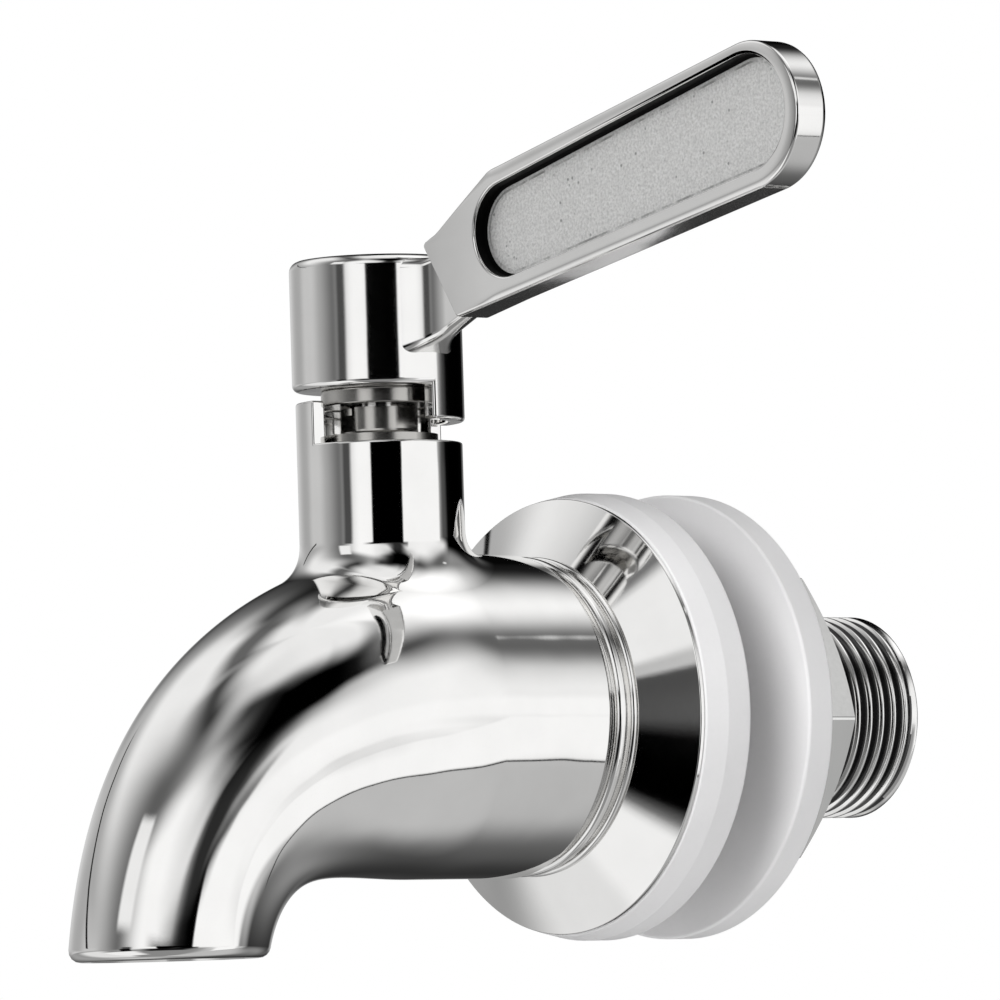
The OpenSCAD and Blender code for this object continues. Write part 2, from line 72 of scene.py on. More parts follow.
# Places of the materials in the lever's list
FRAME, PANEL, PANEL_WALL, DARK_BAND = range(4)
TURNED_SIDES = 160
# Columns round the casting, and the part of its skin that gives way to the tower's collar: between these two
# places along y, and so many columns to each side of the top
CASTING_COLUMNS, OPENING_FROM, OPENING_TO, OPENING_HALF = 240, -12.0, -31.5, 36
# How far the two walls stand past the round face that they lie on, so that they meet it
OVERLAP = 0.003


# Outlines and grids

def unit(v):
    """Vectors along the last axis, each divided by its length."""
    return v/np.maximum(np.linalg.norm(v, axis=-1, keepdims=True), 1e-12)


def join(*parts):
    """Arrays side by side along a new last axis, each first stretched to the shape that they share."""
    return np.stack(np.broadcast_arrays(*parts), -1)


def heading(angle):
    """Unit vectors in a plane at the given angles."""
    return join(np.cos(angle), np.sin(angle))


def rounded(corners, radii, steps=5):
    """Closed outline with rounded corners, as points and outward normals.
    The arc at a corner has its centre at corner - s*r*(n0 + n1)/(1 + n0.n1), where n0 and n1 are the normals
    of its two sides and s is 1 where the corner sticks out and -1 where it goes in; its points are centre
    + s*r*n as n turns from n0 to n1. A radius of 0 gives the corner once with each side's normal."""
    c = np.array(corners, float)
    ahead = unit(np.roll(c, -1, 0) - c)
    area = np.sum(c[:, 0]*np.roll(c[:, 1], -1) - np.roll(c[:, 0], -1)*c[:, 1])
    side = math.copysign(1, area)
    n1 = side*join(ahead[:, 1], -ahead[:, 0])
    n0 = np.roll(n1, 1, 0)
    start = np.arctan2(n0[:, 1], n0[:, 0])
    turn = (np.arctan2(n1[:, 1], n1[:, 0]) - start + math.pi) % (2*math.pi) - math.pi
    s = np.sign(turn*side)[:, None, None]
    r = np.array(radii, float)[:, None, None]
    n = heading(start[:, None] + turn[:, None]*np.linspace(0, 1, steps + 1))
    middle = c[:, None] - s*r*((n0 + n1)/(1 + np.sum(n0*n1, -1, keepdims=True)))[:, None]
    return (middle + s*r*n).reshape(-1, 2), n.reshape(-1, 2)


def refine(p, n, step):
    """Cuts the sides of a closed outline so that none is longer than step; normals turn evenly on a side."""
    ends, end_n = np.roll(p, -1, 0), np.roll(n, -1, 0)
    parts = np.maximum(1, np.ceil(np.linalg.norm(ends - p, axis=1)/step)).astype(int)
    i = np.repeat(np.arange(len(p)), parts)
    share = ((np.arange(len(i)) - np.repeat(np.cumsum(parts) - parts, parts))/parts[i])[:, None]
    return p[i] + share*(ends[i] - p[i]), unit(n[i] + share*(end_n[i] - n[i]))


def about_y(outline, sides):
    """Turns an outline of (radius, y) about the shank's axis: x = r cos a, z = r sin a."""
    a = 2*math.pi*np.arange(sides)/sides
    cos, sin = np.cos(a), np.sin(a)
    return tuple(join(v[:, :1]*cos, v[:, 1:], v[:, :1]*sin) for v in outline)


def about_z(outline, sides):
    """Turns an outline of (radius, z) about the stem's axis: x = r cos a, y = valve + r sin a."""
    a = 2*math.pi*np.arange(sides)/sides
    cos, sin = np.cos(a), np.sin(a)
    return tuple(join(v[:, :1]*cos, at + v[:, :1]*sin, v[:, 1:]) for v, at in zip(outline, (VALVE_Y, 0)))


def grid_normals(p, like):
    """Normals of a grid that closes in its columns: the cross product of its row and column differences,
    turned to the side of the normals in like."""
    across = np.roll(p, -1, 1) - np.roll(p, 1, 1)
    n = unit(np.cross(np.gradient(p, axis=0), across))
    return n*np.sign(np.sum(n*like, -1, keepdims=True))


def quarter(n0, n1, steps=4):
    """Unit vectors that turn evenly from n0 to n1, one row for each step."""
    n0, n1 = np.asarray(n0, float), np.asarray(n1, float)
    angle = np.arccos(np.clip(np.sum(n0*n1, -1, keepdims=True), -1, 1))
    q = np.linspace(0, 1, steps + 1).reshape((-1,) + (1,)*n0.ndim)
    return (np.sin((1 - q)*angle)*n0 + np.sin(q*angle)*n1)/np.maximum(np.sin(angle), 1e-9)


class Shell:
    """Grids of points that are joined into one closed mesh with their own normals. Points are joined where
    they lie in one cell of a very fine lattice, shifted so that whole numbers don't fall on its borders."""

    CELL, CELL_SHIFT = 2e-5, 0.137

    def __init__(self):
        self.points, self.normals, self.quads, self.finish, self.count = [], [], [], [], 0

    def grid(self, p, n, rows=False, cols=True, keep=None, finish=0):
        """Adds a grid of points p with normals n. rows and cols say which way it closes on itself, keep which
        of its faces stay, and finish the material of each row of faces, or of each face. Its faces are turned
        to agree with n."""
        i = np.arange(p.shape[0]*p.shape[1]).reshape(p.shape[:2])
        i = np.vstack([i, i[:1]]) if rows else i
        i = np.hstack([i, i[:, :1]]) if cols else i
        q = np.stack([i[:-1, :-1], i[:-1, 1:], i[1:, 1:], i[1:, :-1]], -1)
        finish = finish if np.ndim(finish) == 2 else np.reshape(finish, (-1, 1))
        look = np.broadcast_to(finish, q.shape[:2])
        keep = np.ones(q.shape[:2], bool) if keep is None else keep
        q, look = q[keep], look[keep]
        p, n = p.reshape(-1, 3), n.reshape(-1, 3)
        faces = p[q]
        facing = np.cross(faces[:, 2] - faces[:, 0], faces[:, 3] - faces[:, 1])
        if np.sum(facing*n[q].mean(1)) < 0:
            q = q[:, ::-1]
        self.points.append(p)
        self.normals.append(unit(n))
        self.quads.append(q + self.count)
        self.finish.append(look)
        self.count += len(p)

    def build(self, name, body, materials, replaces):
        """Joins points that lie at one place, drops what has no area, and makes the piece."""
        p, n = np.concatenate(self.points), np.concatenate(self.normals)
        quads, look = np.concatenate(self.quads), np.concatenate(self.finish)
        cells = np.floor(p/self.CELL + self.CELL_SHIFT).astype(np.int64)
        _, first, back = np.unique(cells, axis=0, return_index=True, return_inverse=True)
        corners = back.reshape(-1)[quads]
        keep = corners != np.roll(corners, 1, axis=1)
        keep[(corners[:, 0] == corners[:, 2]) | (corners[:, 1] == corners[:, 3])] = False
        real = keep.sum(1) >= 3
        keep, corners, quads, look = keep[real], corners[real], quads[real], look[real]
        total = keep.sum(1)
        mesh = bpy.data.meshes.new(name)
        mesh.vertices.add(len(first))
        mesh.vertices.foreach_set("co", (p[first]*MM).astype(np.float32).ravel())
        mesh.loops.add(int(total.sum()))
        mesh.loops.foreach_set("vertex_index", corners[keep].astype(np.int32))
        mesh.polygons.add(len(total))
        mesh.polygons.foreach_set("loop_start", (np.cumsum(total) - total).astype(np.int32))
        mesh.polygons.foreach_set("material_index", look.astype(np.int32))
        mesh.polygons.foreach_set("use_smooth", np.ones(len(total), bool))
        mesh.update(calc_edges=True)
        if mesh.validate(clean_customdata=False):
            raise RuntimeError(f"{name}: the mesh had faces that Blender had to mend")
        mesh.normals_split_custom_set(n[quads][keep])
        for material in materials:
            mesh.materials.append(material)
        piece = bpy.data.objects.new(name, mesh)
        bpy.context.scene.collection.objects.link(piece)
        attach(piece, body)
        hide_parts(*replaces)


# Casting

def cubic(t, p):
    """Point at t of the cubic curve with the four control points p."""
    t = np.asarray(t, float)[..., None]
    return (1 - t)**3*p[0] + 3*t*(1 - t)**2*p[1] + 3*t*t*(1 - t)*p[2] + t**3*p[3]


def cubic_slope(t, p):
    """Slope at t of the same curve."""
    t = np.asarray(t, float)[..., None]
    return 3*((1 - t)**2*(p[1] - p[0]) + 2*t*(1 - t)*(p[2] - p[1]) + t*t*(p[3] - p[2]))


def spout_skin(t, a):
    """Envelope of the balls of radius R(t) whose middle c(t) runs along the spout's line. With k = dR/ds and
    T the line's direction, the ball at t touches it where n = -k T + sqrt(1 - k k)(cos a X + sin a U), at
    c + R n."""
    c, d = cubic(t, SPOUT_LINE), cubic_slope(t, SPOUT_LINE)
    speed = np.linalg.norm(d, axis=-1)
    ty, tz = d[..., 0]/speed, d[..., 1]/speed
    r, k = cubic(t, SPOUT_RADII)[..., 0], cubic_slope(t, SPOUT_RADII)[..., 0]/speed
    flat = np.sqrt(1 - k*k)
    n = join(flat*np.cos(a), -k*ty + flat*np.sin(a)*tz, -k*tz - flat*np.sin(a)*ty)
    return join(0.0, c[..., 0], c[..., 1]) + r[..., None]*n, n


def skin_over(x, y):
    """Highest point of the casting's skin over (x, y), and its normal. The spout's height is the most that
    cz + sqrt(R R - x x - (y - cy)(y - cy)) reaches along its line, and the barrel's is sqrt(R R - x x)."""
    t = np.linspace(0, 0.9, 361)

    def reach(t, x, y):
        c, r = cubic(t, SPOUT_LINE), cubic(t, SPOUT_RADII)[..., 0]
        return c, r, c[..., 1] + np.sqrt(np.maximum(r*r - x*x - (y - c[..., 0])**2, 0))

    z = reach(t, x[..., None], y[..., None])[2]
    best = np.clip(z.argmax(-1), 1, len(t) - 2)
    low, mid, high = (np.take_along_axis(z, (best + i)[..., None], -1)[..., 0] for i in (-1, 0, 1))
    bend = low - 2*mid + high
    shift = np.where(np.abs(bend) > 1e-12, 0.5*(low - high)/np.where(bend == 0, 1, bend), 0)
    c, r, z = reach(np.maximum(t[best] + np.clip(shift, -1, 1)*(t[1] - t[0]), 0), x, y)
    barrel = y >= SPOUT_START
    z = np.where(barrel, np.sqrt(BARREL_R**2 - x*x), z)
    n = join(x, np.where(barrel, 0, y - c[..., 0]), z - np.where(barrel, 0, c[..., 1]))
    return join(x, y, z), unit(n)


def ring(a, middle, up, radius, along, out=-1):
    """Ring of a passage: middle + radius*(cos a X + sin a U), with U = up in y and z. Its normal is out times
    the radial direction, plus along, a vector in y and z."""
    radial = join(np.cos(a), np.sin(a)*up[0], np.sin(a)*up[1])
    n = out*radial + np.array([0, *along], float)
    return np.array([0, *middle], float) + radius*radial, unit(n)


def casting_skin(lip):
    """Rows of the casting from the round at the barrel's rear end, down the spout and over its lip, back
    through the waterway and the barrel's cavities to the rear face. Returns points, normals, and the rows
    where the tower's opening begins and ends."""
    cols, bevel = CASTING_COLUMNS, 0.2
    a = 2*math.pi*np.arange(cols)/cols
    end = quarter((0, 1), (1, 0))
    barrel = np.linspace(BARREL_END - BARREL_ROUND, SPOUT_START, 24)[1:-1]
    corner = np.array([BARREL_R - BARREL_ROUND, BARREL_END - BARREL_ROUND])
    outline = np.concatenate([corner + BARREL_ROUND*end, join(BARREL_R, barrel)])
    p, n = about_y((outline, np.concatenate([end, join(1.0, 0*barrel)])), cols)
    rows, normals = [p], [n]
    # The skin ends, column by column, where a lip of that radius comes down to the outlet's plane
    low, high = np.full(cols, 0.6), np.full(cols, 1.3)
    for _ in range(40):
        mid = (low + high)/2
        q, m = spout_skin(mid, a)
        above = q[:, 2] - lip*m[:, 2] > OUTLET_Z + lip
        low, high = np.where(above, mid, low), np.where(above, high, mid)
    spread = np.linspace(0, 1, 90)[:, None]
    stretch = np.clip((spread - 0.5)/0.5, 0, 1)**2
    q, m = spout_skin(spread*(1 + stretch*(high - 1)), a[None, :])
    rows.append(q)
    normals.append(m)
    turn = quarter(m[-1], (0, 0, -1))
    rows.append(q[-1] - lip*m[-1] + lip*turn)
    normals.append(turn)
    # Steps of the passage, with the values that ring() takes; two at each sharp edge, one for each face
    slant = math.tan(math.radians(90 - BEND_DEG))
    bend = np.radians(np.linspace(BEND_DEG, 0, 12))
    bend_y = OUTLET_Y - (OUTLET_Z + BEND_R*(1 - math.cos(bend[0])))*slant + BEND_R*math.sin(bend[0])
    mouth, inside, shoulder = ((OUTLET_Y, OUTLET_Z + up) for up in (0, bevel, OUTLET_DEPTH))
    inner = (OUTLET_Y + OUTLET_DEPTH*slant, OUTLET_Z + OUTLET_DEPTH)
    front, back = (-1, 0), (0, 1)
    steps = [(mouth, front, OUTLET_BORE + bevel, (0, -1), 0), (mouth, front, OUTLET_BORE + bevel, (0, -1)),
             (inside, front, OUTLET_BORE, (0, -1)), (inside, front, OUTLET_BORE, (0, 0)),
             (shoulder, front, OUTLET_BORE, (0, 0)), (shoulder, front, OUTLET_BORE, (0, -1), 0),
             (inner, front, WATERWAY_R, (0, -1), 0), (inner, front, WATERWAY_R, (0, 0))]
    steps += [((bend_y - BEND_R*math.sin(b), BEND_R*(math.cos(b) - 1)), (-math.sin(b), math.cos(b)),
               WATERWAY_R, (0, 0)) for b in bend]
    for y, r0, r1 in ((SEAT_Y, WATERWAY_R, SEAT_R), (SPIGOT_Y, SEAT_R, SPIGOT_R)):
        steps += [((y, 0), back, r0, (0, 0)), ((y, 0), back, r0, (1, 0), 0),
                  ((y, 0), back, r1, (1, 0), 0), ((y, 0), back, r1, (0, 0))]
    steps += [((BARREL_END, 0), back, SPIGOT_R, (0, 0)), ((BARREL_END, 0), back, SPIGOT_R, (1, 0), 0)]
    passage = [ring(a, *step) for step in steps]
    rows.append(np.stack([q for q, _ in passage]))
    normals.append(np.stack([m for _, m in passage]))
    top = np.concatenate(rows[:2])[:, cols//4, 1]
    opening = [int(np.argmin(np.abs(top - y))) for y in (OPENING_FROM, OPENING_TO)]
    return np.concatenate(rows), np.concatenate(normals), *opening


def casting(sizes, looks):
    """Body of the spigot: the skin with an opening round the tower, a collar of skin from the opening's edge
    to the tower's foot, the foot's curve, the tower and its gland hole, and the stop wall on the rim."""
    shell = Shell()
    p, n, first, last = casting_skin(sizes.lip_round)
    left, right = CASTING_COLUMNS//4 - OPENING_HALF, CASTING_COLUMNS//4 + OPENING_HALF
    keep = np.ones(p.shape[:2], bool)
    keep[first:last, left:right] = False
    shell.grid(p, n, rows=True, keep=keep)
    edge_r = np.concatenate([np.full(right - left, first), np.arange(first, last),
                             np.full(right - left, last), np.arange(last, first, -1)])
    edge_c = np.concatenate([np.arange(left, right), np.full(last - first, right),
                             np.arange(right, left, -1), np.full(last - first, left)])
    edge, edge_n = p[edge_r, edge_c], n[edge_r, edge_c]
    around = np.arctan2(edge[:, 1] - VALVE_Y, edge[:, 0])
    cos, sin = np.cos(around), np.sin(around)
    # Skin between the opening and the foot: straight in plan, on the skin in height
    foot_r = TOWER_R + FOOT_BLEND
    s = np.linspace(0, 1, 12)[:, None]
    q, m = skin_over(edge[:, 0]*(1 - s) + foot_r*cos*s, edge[:, 1]*(1 - s) + (VALVE_Y + foot_r*sin)*s)
    q[0], m[0] = edge, edge_n
    shell.grid(q, m)
    # Foot: r = R + b t t and z from three heights, so that it leaves the wall upright and meets the skin flat
    foot, foot_n = q[-1], m[-1]
    slope = -(foot_n[:, 0]*cos + foot_n[:, 1]*sin)/foot_n[:, 2]
    bend_z = foot[:, 2] - slope*FOOT_BLEND
    t = np.linspace(1, 0, 13)[:, None]
    r = TOWER_R + FOOT_BLEND*t*t
    z = (1 - t)**2*(bend_z + FOOT_BLEND) + 2*t*(1 - t)*bend_z + t*t*foot[:, 2]
    q = join(r*cos, VALVE_Y + r*sin, z)
    radial = join(cos, sin, 0.0)
    m = grid_normals(q, radial + [0, 0, 1.0])
    q[0], m[0], m[-1] = foot, foot_n, radial
    shell.grid(q, m)
    # Tower, rim and gland hole
    corners = [(TOWER_R, 0), (TOWER_R, RIM_Z), (GLAND_R, RIM_Z), (GLAND_R, GLAND_FLOOR), (0, GLAND_FLOOR)]
    outline = rounded(corners, [0, sizes.edge_round, sizes.edge_round, 0.1, 0], 4)
    profile, profile_n = (v[5:-5, :, None] for v in outline)
    up = join(profile[:, 0]*cos, VALVE_Y + profile[:, 0]*sin, profile[:, 1])
    up_n = profile_n[:, :1]*radial + profile_n[:, 1:]*[0, 0, 1.0]
    centre = np.broadcast_to([0, VALVE_Y, GLAND_FLOOR], up[:1].shape)
    shell.grid(np.concatenate([q[-1:], up, centre]),
               np.concatenate([m[-1:], up_n, np.broadcast_to([0, 0, 1.0], centre.shape)]))
    sector(shell, WALL_IN, TOWER_R + OVERLAP, WALL_FROM, WALL_TO, WALL_LOW, WALL_TOP, sizes.edge_round, True)
    shell.build("casting", "tap", [looks.cast], ["body"])


# Flat-faced forms

def stations(p, start, end, step):
    """Nearest place on the line from start to end for each point, moved to an even spacing, so that points on
    both sides of the line share the same places."""
    start, end = np.array(start, float), np.array(end, float)
    span = end - start
    count = max(1, round(np.linalg.norm(span)/step))
    along = np.clip((p - start) @ span/(span @ span), 0, 1)
    return start + np.round(along*count)[:, None]/count*span


def sector(shell, r_in, r_out, deg_from, deg_to, z_low, z_high, edge, at_top):
    """Upright wall on part of a circle about the stem's axis. In plan it is a rounded rectangle of arc length
    s and radius r, laid round the axis; its free end has a rounded edge and its other end is sunk in what
    carries it."""
    mid = (r_in + r_out)/2
    s0, s1 = math.radians(deg_from)*mid, math.radians(deg_to)*mid
    o, n = refine(*rounded([(s0, r_in), (s1, r_in), (s1, r_out), (s0, r_out)], [edge]*4, 4), 0.3)
    spine = stations(o, (s0 + (r_out - r_in)/2, mid), (s1 - (r_out - r_in)/2, mid), 0.45)
    free, sunk, way = (z_high, z_low, 1.0) if at_top else (z_low, z_high, -1.0)
    turn = quarter((1, 0), (0, way))
    rows = [(spine, n, sunk, 0, -way), (o, n, sunk, 0, -way), (o, n, sunk, 1, 0)]
    rows += [(o - n*edge*(1 - t[0]), n, free - way*edge + edge*t[1], t[0], t[1]) for t in turn]
    rows += [(spine, n, free, 0, way)]
    plan = np.stack([row[0] for row in rows])
    angle, radius = plan[..., 0]/mid, plan[..., 1]
    height, out, lift = (np.array([row[i] for row in rows], float)[:, None] for i in (2, 3, 4))
    cos, sin = np.cos(angle), np.sin(angle)
    along, away = out*n[:, 0], out*n[:, 1]
    shell.grid(join(radius*cos, VALVE_Y + radius*sin, height),
               join(away*cos - along*sin, away*sin + along*cos, lift))


def strip_outline(root, root_r, tip, tip_r, step):
    """Outline of a strip with two round ends, as points and normals: an arc about each end, and the two lines
    that touch both arcs."""
    root, tip, count = np.array(root, float), np.array(tip, float), 160
    way = math.atan2(*(tip - root)[::-1])
    lean = math.asin((tip_r - root_r)/np.linalg.norm(tip - root))
    at_tip = way + np.linspace(-math.pi/2 - lean, math.pi/2 + lean, count)
    at_root = way + np.linspace(math.pi/2 + lean, 3*math.pi/2 - lean, count)
    n = heading(np.concatenate([at_tip, at_root]))
    middle = np.repeat([tip, root], count, axis=0)
    size = np.repeat([tip_r, root_r], count)[:, None]
    return refine(middle + size*n, n, step)


def paddle(shell, sizes):
    """Flag-shaped paddle: its outline in x and z is carried through rows of (inset, height) for the back, the
    rounded edges and the front frame, and the outline of the sunk panel goes on from there, down the panel's
    wall to its floor. Each point of the panel's outline is the nearest one to a point of the paddle's."""
    corners = [(11.5, 29.6), (50.795, 36.98), (50.795, 48.45), (15.6, 40.39), (9.3, 36.2), (7.6, 35.5)]
    o, n = refine(*rounded(corners, [0.45, 5.495, 5.495, 2.5, 3.0, 0.4], 28), 0.3)
    root, root_r, tip, tip_r = (17.5, 35.8), 3.6, (45.1, 41.75), 4.35
    panel, panel_n = strip_outline(root, root_r, tip, tip_r, 0.02)
    near = np.argmin(np.sum((o[:, None] - panel[None])**2, -1), 1)
    panel, panel_n = panel[near], panel_n[near]
    spine = stations(o, root, tip, 0.5)
    front, back = PADDLE_HALF, -PADDLE_HALF
    edge, lip, foot = 0.3, 0.2, 0.25
    lean = math.radians(sizes.crown_lean)
    across, up, fall = math.sin(lean), math.cos(lean), math.tan(lean)
    # Between the first two insets from the panel's outline the floor is darker in patches
    band_from, band_to, hollow = 0.44, 0.6, 0.13
    # Both roundings narrow towards the two sharp corners at the web, so that their rows don't cross there
    away = np.clip((o[:, :1] - 12)/5, 0, 1)
    crown, back_edge = 0.1 + (sizes.crown_width - 0.1)*away, 0.3 + 0.3*away
    shoulder = front - (crown*fall/2 + edge*up)
    floor = front - PANEL_DEPTH
    rows = [(spine, n, back, 0, -1, FRAME)]
    rows += [(o - n*back_edge*(1 - t[0]), n, back + back_edge + back_edge*t[1], *t, FRAME)
             for t in quarter((0, -1), (1, 0), 5)]
    rows += [(o - n*edge*(1 - t[0]), n, shoulder + edge*t[1], *t, FRAME)
             for t in quarter((1, 0), (across, up))]
    rows += [(o - n*(edge*(1 - across) + crown*q), n, shoulder + edge*up + crown*fall*(q - q*q/2),
              fall*(1 - q), 1, FRAME) for q in np.linspace(0, 1, 7)[1:]]
    rows += [(panel + panel_n*lip*(1 + t[0]), panel_n, front - lip + lip*t[1], *t, FRAME)
             for t in quarter((0, 1), (-1, 0))]
    # The recess wall and its foot take the near-black wall material: painted shade in the recess
    rows[-1] = rows[-1][:5] + (PANEL_WALL,)
    rows += [(panel - panel_n*foot*(1 + t[0]), panel_n, floor + foot - foot*t[1], *t, PANEL_WALL)
             for t in quarter((-1, 0), (0, 1))]
    rows[-1] = rows[-1][:5] + (PANEL,)
    rows += [(panel - panel_n*inset, panel_n, floor, 0, 1, look)
             for inset, look in ((band_from, DARK_BAND), (band_to, PANEL))]
    rows += [(spine, panel_n, floor, 0, 1, PANEL)]
    plan = np.stack([row[0] for row in rows])
    height = np.stack([np.ravel(row[2]) + 0*o[:, 0] for row in rows])
    flat = np.stack([row[1]*row[3] for row in rows])
    lift = np.array([row[4] for row in rows], float)[:, None]
    # The front is very slightly hollow towards the hub
    x, front_face = plan[..., 0], lift > 0.9
    flat = flat*np.where(front_face, np.clip((x - 11)/5, 0, 1), 1)[..., None]
    flat[..., 0] += hollow*np.clip((20 - x)/11, 0, 1)*front_face
    shell.grid(join(x, VALVE_Y - height, plan[..., 1]), join(flat[..., 0], -lift, flat[..., 1]),
               finish=[row[5] for row in rows][:-1])


def web(shell):
    """Web between the hub and the paddle. Its half thickness is h(x) = thin + spread*(x_flat - x)^2, a hollow
    curve that meets the hub at an angle, and each section is a rounded rectangle between z_low and z_high."""
    thin, x_hub, x_flat, corner = 0.8, 6.1, 9.6, 0.75
    spread = (math.sqrt(HUB_R**2 - x_hub**2) - thin)/(x_flat - x_hub)**2
    x = np.concatenate([[4.6], np.linspace(x_hub, x_flat, 26), [11.7, 12.6]])[:, None]
    gap = np.clip(x_flat - x, 0, x_flat - x_hub)
    h, slope = thin + spread*gap**2, 2*spread*gap
    slope[0] = slope[1]
    z_low, z_high = 24.67 + 0.42*x, 34.55 + np.maximum(x - 7.5, 0)*0.3
    a = np.radians(np.concatenate([np.linspace(s, s + 90, 9) for s in (0, 90, 180, 270)]))
    cos, sin = np.cos(a), np.sin(a)
    y = np.repeat([1, -1, -1, 1], 9)*(h - corner) + corner*cos
    z = np.where(np.repeat([True, True, False, False], 9), z_high - corner, z_low + corner) + corner*sin
    p, n = join(x, VALVE_Y + y, z), join(slope*np.abs(cos), cos, sin)
    near, far = (np.broadcast_to(p[i].mean(0), p[:1].shape) for i in (0, -1))
    near_n, far_n = (np.broadcast_to([way, 0, 0], p[:1].shape) for way in (-1.0, 1.0))
    shell.grid(np.concatenate([near, p[:1], p, p[-1:], far]),
               np.concatenate([near_n, near_n, n, far_n, far_n]))


def lever(sizes, looks):
    """Lever casting: the hub with the screw's pocket, the stop lug below it, the web and the paddle."""
    shell = Shell()
    corners = [(0, HUB_Z), (HUB_R, HUB_Z), (HUB_R, HUB_TOP), (POCKET_R, HUB_TOP), (POCKET_R, POCKET_Z),
               (0, POCKET_Z)]
    shell.grid(*about_z(rounded(corners, [0, 0.5, 0.8, 0.25, 0.2, 0], 6), TURNED_SIDES), rows=True)
    sector(shell, LUG_IN, HUB_R + OVERLAP, LUG_FROM, LUG_TO, LUG_LOW, LUG_HIGH, 0.28, False)
    web(shell)
    paddle(shell, sizes)
    finishes = [looks.lever, looks.panel, looks.recess, looks.panel_edge]
    shell.build("lever_casting", "lever", finishes, ["lever"])


# Turned pieces

def turned(name, body, material, corners, radii, replaces, upright=False):
    """A ring turned from a rounded outline of (radius, place along the axis)."""
    shell = Shell()
    outline = rounded(corners, radii)
    shell.grid(*(about_z if upright else about_y)(outline, TURNED_SIDES), rows=True)
    shell.build(name, body, [material], replaces)


def shank(sizes, looks):
    """Shank with its beaded head. The thread's radius is crest - depth*(1 - f(u)), with u = y/pitch - turns,
    and f a rounded trapezium that is 0 at the root and 1 at the crest; it runs out to the crest within a
    pitch of each end."""
    sides = 144
    pitch, depth = sizes.thread_pitch, sizes.thread_depth
    y0, y1 = THREAD_START, THREAD_END
    u = np.array([0, 0.06, 0.11, 0.2, 0.3, 0.39, 0.44, 0.5, 0.56, 0.61, 0.7, 0.8, 0.89, 0.94])
    f = np.clip((1 - np.abs(2*u - 1) - 0.17)/0.66, 0, 1)
    f = f*f*(3 - 2*f)*0.35 + f*0.65
    steep = (np.roll(f, -1) - np.roll(f, 1))/((np.roll(u, -1) - np.roll(u, 1)) % 1)
    turns = int((y1 - y0)/pitch) + 3
    start = np.concatenate([i + u for i in range(turns)])[:, None] - 1
    f, steep = np.tile(f, turns)[:, None], np.tile(steep, turns)[:, None]
    a = 2*math.pi*np.arange(sides + 1)/sides
    y = np.clip(y0 + pitch*(start + a/(2*math.pi)), y0, y1)
    fade = np.clip((y - y0)/pitch, 0, 1)*np.clip((y1 - y)/pitch, 0, 1)
    r = THREAD_R - depth*(1 - f)*fade
    g = depth*fade*steep/pitch
    cos, sin = np.cos(a), np.sin(a)
    side = g*pitch/(2*math.pi*r)
    shell = Shell()
    # Faces deep in the thread's groove take the near-black root material: painted shade in the groove
    deep = (r[:-1, :-1] + r[1:, 1:])/2 < THREAD_R - 0.3*depth
    shell.grid(join(r*cos, y, r*sin), join(cos - side*sin, -g, sin + side*cos), cols=False,
               finish=deep.astype(int))
    groove, bead_r, head, rear = 11.7, 12.4, -9.102, -7.7
    bore, tip, spigot, ring_r, ring_from, ring_to = 4.5, -15.4, 9.0, 7.5, -13.15, -11.35
    corners = [(THREAD_R, THREAD_END), (7.5, SHANK_END), (bore, SHANK_END), (bore, tip), (7.9, tip),
               (7.9, SPIGOT_Y), (spigot, SPIGOT_Y), (spigot, ring_from), (ring_r, ring_from),
               (ring_r, ring_to), (spigot, ring_to), (spigot, BARREL_END), (groove, BARREL_END),
               (groove, head), (bead_r, head), (bead_r, head + 1.0), (groove, head + 1.0), (groove, rear),
               (bead_r, rear), (bead_r, rear + 0.6), (THREAD_R, rear + 0.6), (THREAD_R, y0)]
    radii = [0.1, 0.25, 0.3, 0.1, 0.1, 0, 0.1, 0.05, 0, 0, 0.05, 0, 0, 0.06, 0.4, 0.4, 0.06, 0.04, 0.29, 0.29,
             0.05, 0]
    p, n = rounded(corners, radii)
    # The outline's last side is where the thread lies, so its two ends are left as they are
    p[0] = (THREAD_R, THREAD_END)
    p, n = about_y((p, n), sides)
    shell.grid(p, n)
    shell.build("shank_threaded", "tap", [looks.thread, looks.root], ["shank"])


def lock_nut(looks):
    """Thin hexagon nut. In plan it is a hexagon with slightly rounded corners; at the rear a cone takes the
    corners off, and starts on each column where it meets the flats, at y = end - (r - half width)/2."""
    half, y0, y1, bore = 11.0, NUT_FRONT, NUT_BACK, 8.05
    edge, corner_round, front_bevel, rear_bevel = 0.2, 0.35, 0.35, 0.5
    at = np.radians(60*np.arange(6) - 3.3)
    hexagon = half/math.cos(math.radians(30))*heading(at)
    p, n = refine(*rounded(hexagon, [corner_round]*6, 6), 0.45)
    r = np.linalg.norm(p, axis=1, keepdims=True)
    u, cone, inward, front = p/r, (0.447, 0.894), (-0.7, 0.7), (-0.7, -0.7)
    # Rows of points in plan, place along y, direction in plan, and how much of it and of +Y the normal has
    rows = [((bore + front_bevel)*u, y0, u, 0, -1)]
    rows += [(p - n*edge*(1 - t[0]), y0 + edge + edge*t[1], n, *t)
             for t in quarter((0, -1), (1, 0))]
    rows += [(p, y1 - (r[:, 0] - half)/2, m, *way) for m, way in ((n, (1, 0)), (u, cone))]
    rows += [(half*u, y1, u, *cone), (half*u, y1, u, 0, 1), ((bore + rear_bevel)*u, y1, u, 0, 1),
             ((bore + rear_bevel)*u, y1, u, *inward), (bore*u, y1 - rear_bevel, u, *inward),
             (bore*u, y1 - rear_bevel, u, -1, 0), (bore*u, y0 + front_bevel, u, -1, 0),
             (bore*u, y0 + front_bevel, u, *front), ((bore + front_bevel)*u, y0, u, *front)]
    shell = Shell()
    shell.grid(np.stack([join(q[:, 0], y, q[:, 1]) for q, y, _, _, _ in rows]),
               np.stack([join(m[:, 0]*out, lift, m[:, 1]*out) for _, _, m, out, lift in rows]), rows=True)
    shell.build("lock_nut_hexagon", "tap", [looks.nut], ["lock_nut"])


# Materials

